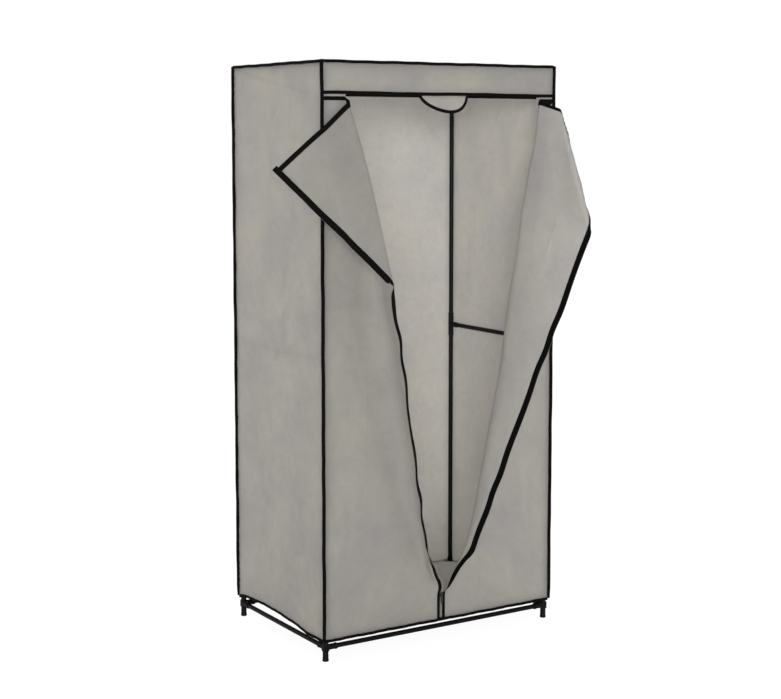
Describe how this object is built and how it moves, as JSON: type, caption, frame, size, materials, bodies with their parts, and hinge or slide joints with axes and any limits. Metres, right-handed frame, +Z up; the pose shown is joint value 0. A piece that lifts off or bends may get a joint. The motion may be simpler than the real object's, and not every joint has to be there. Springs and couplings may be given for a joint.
{
  "type": "portable fabric wardrobe",
  "caption": "Upright tube-framed wardrobe with a sewn cloth cover, folded-back front doors closed by a central zip, piped edges and an inner hanging rail.",
  "frame": {"origin": "on the floor, under the middle of the front left foot", "axes": "+X to the right along the front, +Y from the front to the back, +Z up"},
  "size_m": [0.9617, 0.7491, 1.6],
  "materials": {
    "cover_cloth": "matt nonwoven cloth, warm grey",
    "black_binding": "matt black woven binding",
    "zip_tape": "black zip tape",
    "frame_tube": "black powder coat, satin",
    "connector_plastic": "moulded black plastic",
    "zip_metal": "black lacquered zinc"
  },
  "bodies": {
    "cabinet": {"foot_connector_front_left": "connector_plastic", "foot_connector_front_right": "connector_plastic", "foot_connector_back_left": "connector_plastic", "foot_connector_back_right": "connector_plastic", "middle_connector_front_left": "connector_plastic", "middle_connector_front_right": "connector_plastic", "middle_connector_back_left": "connector_plastic", "middle_connector_back_right": "connector_plastic", "top_connector_front_left": "connector_plastic", "top_connector_front_right": "connector_plastic", "top_connector_back_left": "connector_plastic", "top_connector_back_right": "connector_plastic", "hanging_rail_bracket_left": "connector_plastic", "hanging_rail_bracket_right": "connector_plastic", "lower_post_front_left": "frame_tube", "lower_post_front_right": "frame_tube", "lower_post_back_left": "frame_tube", "lower_post_back_right": "frame_tube", "upper_post_front_left": "frame_tube", "upper_post_front_right": "frame_tube", "upper_post_back_left": "frame_tube", "upper_post_back_right": "frame_tube", "bottom_rail_front": "frame_tube", "bottom_rail_back": "frame_tube", "bottom_rail_left": "frame_tube", "bottom_rail_right": "frame_tube", "middle_rail_left": "frame_tube", "middle_rail_right": "frame_tube", "top_rail_front": "frame_tube", "top_rail_back": "frame_tube", "top_rail_left": "frame_tube", "top_rail_right": "frame_tube", "hanging_rail": "frame_tube", "top_panel": "cover_cloth", "back_panel": "cover_cloth", "left_side_panel": "cover_cloth", "right_side_panel": "cover_cloth", "front_band": "cover_cloth", "zip_facing": "cover_cloth", "floor_sheet": "cover_cloth", "left_door_fixed_panel": "cover_cloth", "right_door_fixed_panel": "cover_cloth", "edge_piping": "black_binding", "hem_binding": "black_binding", "facing_binding": "black_binding", "left_door_fixed_binding": "black_binding", "right_door_fixed_binding": "black_binding", "lower_zip": "zip_tape"},
    "left_door_swing": {"left_door_swing_panel": "cover_cloth", "left_door_swing_tape": "zip_tape", "left_door_swing_binding": "black_binding"},
    "left_door_corner": {"left_door_corner_panel": "cover_cloth", "left_door_corner_trim": "black_binding"},
    "right_door_swing": {"right_door_swing_panel": "cover_cloth", "right_door_swing_tape": "zip_tape", "right_door_swing_binding": "black_binding"},
    "right_door_corner": {"right_door_corner_panel": "cover_cloth", "right_door_corner_trim": "black_binding"},
    "slider": {"zip_slider": "zip_metal"},
    "pull": {"zip_pull": "zip_metal"}
  },
  "joints": [
    {"name": "right_door_fold", "type": "hinge", "parent": "cabinet", "child": "right_door_swing", "pos_m": [0.399, -0.0106, 0.136], "axis": [-0.209, 0, -0.9779], "range_deg": [0, 107]},
    {"name": "left_door_fold", "type": "hinge", "parent": "cabinet", "child": "left_door_swing", "pos_m": [0.335, -0.0106, 0.136], "axis": [-0.1931, 0, 0.9812], "range_deg": [0, 110]},
    {"name": "left_corner_fold", "type": "hinge", "parent": "left_door_swing", "child": "left_door_corner", "pos_m": [0.08942, -0.20491, 1.0174], "axis": [-0.0596, 0.3378, 0.9393], "range_deg": [0, 91]},
    {"name": "right_corner_fold", "type": "hinge", "parent": "right_door_swing", "child": "right_door_corner", "pos_m": [0.69056, -0.25142, 1.14799], "axis": [-0.0522, -0.4443, -0.8943], "range_deg": [0, 120]},
    {"name": "zip_travel", "type": "slide", "parent": "cabinet", "child": "slider", "axis": [0, 0, 1], "range_m": [0, 1.362]},
    {"name": "pull_hinge", "type": "hinge", "parent": "slider", "child": "pull", "pos_m": [0.367, -0.0141, 0.133], "axis": [-1, 0, 0], "range_deg": [0, 120]}
  ],
  "couplings": [
    {"joint": "left_door_fold", "follows": "right_door_fold", "ratio": 1.028},
    {"joint": "left_corner_fold", "follows": "right_door_fold", "ratio": 0.85046},
    {"joint": "right_corner_fold", "follows": "right_door_fold", "ratio": 1.1215},
    {"joint": "zip_travel", "follows": "right_door_fold", "m_per_rad": 0.7293}
  ]
}
